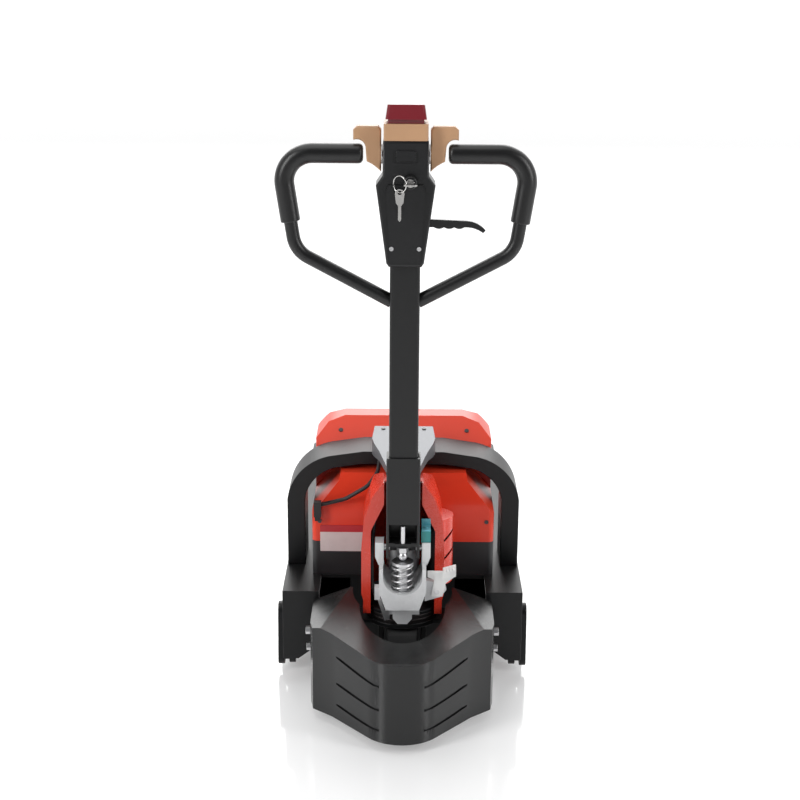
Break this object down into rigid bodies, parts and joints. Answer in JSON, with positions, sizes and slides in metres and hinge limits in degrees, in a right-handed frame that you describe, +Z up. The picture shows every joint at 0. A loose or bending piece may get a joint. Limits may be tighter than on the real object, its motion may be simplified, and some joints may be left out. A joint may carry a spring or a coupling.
{
  "type": "electric pallet truck",
  "caption": "Electric pallet truck with a steered drive wheel, an upright tiller with a looped handle, a battery box under an arch and two forks that lift.",
  "frame": {"origin": "on the floor, under the centre of the truck's footprint", "axes": "+Z up, +Y from the tiller towards the fork tips, +X to the operator's right when facing the truck"},
  "size_m": [0.56, 1.839, 1.291],
  "materials": {
    "skirt_plastic": "satin moulded, fine grain",
    "black_paint": "satin powder coat",
    "red_paint": "gloss",
    "red_plastic": "gloss moulded",
    "black_plastic": "fine grain moulded",
    "tan_plastic": "satin moulded",
    "dark_red_plastic": "gloss",
    "grip_rubber": "satin",
    "cable_rubber": "satin",
    "tyre": "moulded tread",
    "roller_tyre": "smooth polyurethane",
    "casting": "silver-grey, cast surface",
    "bright_steel": "zinc plated",
    "chromed": "polished",
    "wheel_metal": "cast",
    "motor_black": "satin",
    "pedal_white": "moulded, ribbed",
    "switch_teal": "moulded",
    "bracket_blue": "plated",
    "battery_case": "moulded",
    "plate": "printed, blank"
  },
  "bodies": {
    "base": {"wheel_skirt": "skirt_plastic", "skirt_bolts": "bright_steel", "link_frame": "black_paint", "steering_bearing": "bright_steel"},
    "steer": {"drive_yoke": "black_paint", "wheel_axle": "bright_steel", "drive_motor": "motor_black", "lift_cylinder": "casting", "pump_casting": "casting", "plunger_spring": "chromed", "pump_pins": "bright_steel", "release_link": "bright_steel", "pump_guard": "red_paint", "limit_switch": "switch_teal", "switch_bracket": "bracket_blue", "pump_cable": "cable_rubber"},
    "drive_wheel": {"wheel_hub": "wheel_metal", "wheel_tyre": "tyre"},
    "plunger": {"pump_plunger": "chromed"},
    "pedal": {"release_pedal": "pedal_white"},
    "tiller": {"tiller_tube": "black_paint", "tiller_bracket": "black_paint", "push_bolt": "bright_steel", "handle_left": "black_paint", "handle_right": "black_paint", "grip_left": "grip_rubber", "grip_right": "grip_rubber", "head_front_cover": "black_plastic", "head_rear_cover": "black_plastic", "head_screws": "bright_steel", "head_top_block": "tan_plastic", "key_switch": "black_plastic"},
    "throttle": {"throttle_shaft": "bright_steel", "throttle_wing_left": "tan_plastic", "throttle_wing_right": "tan_plastic"},
    "belly": {"belly_switch": "dark_red_plastic"},
    "horn": {"horn_button": "black_plastic"},
    "key": {"ignition_key": "bright_steel"},
    "ring": {"key_ring": "bright_steel", "spare_key": "bright_steel"},
    "lever": {"lowering_lever": "black_plastic"},
    "chassis": {"base_frame": "black_paint", "fork_left": "black_paint", "fork_right": "black_paint", "fork_pins": "bright_steel", "arch_frame": "black_paint", "crown": "black_paint", "lift_ram": "chromed", "battery_tray": "black_plastic", "battery_cover": "red_plastic", "battery_pack": "battery_case", "drive_controller": "wheel_metal", "cover_screws": "bright_steel", "rating_plate": "plate", "battery_cable": "cable_rubber"},
    "rockers": {"rockers": "black_paint"},
    "rods": {"push_rods": "black_paint"},
    "legs": {"roller_legs": "black_paint"},
    "roller_left": {"load_roller_left": "roller_tyre"},
    "roller_right": {"load_roller_right": "roller_tyre"}
  },
  "joints": [
    {"name": "steering", "type": "hinge", "parent": "base", "child": "steer", "pos_m": [0, -0.6325, 0], "axis": [0, 0, 1], "range_deg": [-85, 85]},
    {"name": "wheel_spin", "type": "hinge", "parent": "steer", "child": "drive_wheel", "pos_m": [0, -0.6325, 0.105], "axis": [1, 0, 0], "continuous": true},
    {"name": "tiller_pitch", "type": "hinge", "parent": "steer", "child": "tiller", "pos_m": [0, -0.7125, 0.372], "axis": [1, 0, 0], "range_deg": [0, 75]},
    {"name": "plunger_stroke", "type": "slide", "parent": "steer", "child": "plunger", "axis": [0, 0, -1], "range_m": [0, 0.0218], "deforming": ["plunger_spring"]},
    {"name": "pedal_press", "type": "hinge", "parent": "steer", "child": "pedal", "pos_m": [0.072, -0.7425, 0.286], "axis": [0, 1, 0], "range_deg": [0, 12], "stiffness_Nm_per_rad": 3, "springref_deg": -5.73},
    {"name": "throttle_turn", "type": "hinge", "parent": "tiller", "child": "throttle", "pos_m": [0, -0.7125, 1.195], "axis": [1, 0, 0], "range_deg": [-30, 30], "stiffness_Nm_per_rad": 1},
    {"name": "belly_press", "type": "slide", "parent": "tiller", "child": "belly", "axis": [0, 0, -1], "range_m": [0, 0.008], "stiffness_N_per_m": 600, "springref_m": -0.004},
    {"name": "horn_press", "type": "slide", "parent": "tiller", "child": "horn", "axis": [0, 1, 0], "range_m": [0, 0.002], "stiffness_N_per_m": 800, "springref_m": -0.001},
    {"name": "key_turn", "type": "hinge", "parent": "tiller", "child": "key", "pos_m": [0.009, -0.7825, 1.146], "axis": [0, 1, 0], "range_deg": [0, 60]},
    {"name": "ring_swing", "type": "hinge", "parent": "key", "child": "ring", "pos_m": [0.001, -0.7925, 1.146], "axis": [1, 0, 0], "range_deg": [-20, 12]},
    {"name": "lever_squeeze", "type": "hinge", "parent": "tiller", "child": "lever", "pos_m": [0.04, -0.7125, 1.06], "axis": [0, -1, 0], "range_deg": [0, 15], "stiffness_Nm_per_rad": 2, "springref_deg": -5.73},
    {"name": "lift", "type": "slide", "parent": "base", "child": "chassis", "axis": [0, 0, 1], "range_m": [0, 0.115]},
    {"name": "rocker_swing", "type": "hinge", "parent": "chassis", "child": "rockers", "pos_m": [0, -0.5275, 0.138], "axis": [1, 0, 0], "range_deg": [0, 18.5]},
    {"name": "rod_swing", "type": "hinge", "parent": "rockers", "child": "rods", "pos_m": [0, -0.5445, 0.03337], "axis": [1, 0, 0], "range_deg": [-18.5, 0]},
    {"name": "leg_swing", "type": "hinge", "parent": "chassis", "child": "legs", "pos_m": [0, 0.7695, 0.06], "axis": [1, 0, 0], "range_deg": [0, 58.16]},
    {"name": "roller_left_spin", "type": "hinge", "parent": "legs", "child": "roller_left", "pos_m": [-0.2, 0.62127, 0.037], "axis": [1, 0, 0], "continuous": true},
    {"name": "roller_right_spin", "type": "hinge", "parent": "legs", "child": "roller_right", "pos_m": [0.2, 0.62127, 0.037], "axis": [1, 0, 0], "continuous": true}
  ],
  "couplings": [
    {"joint": "plunger_stroke", "follows": "tiller_pitch", "m_per_rad": 0.0165},
    {"joint": "rocker_swing", "follows": "lift", "rad_per_m": 2.8007},
    {"joint": "rod_swing", "follows": "lift", "rad_per_m": -2.8007},
    {"joint": "leg_swing", "follows": "lift", "rad_per_m": 8.8186}
  ]
}
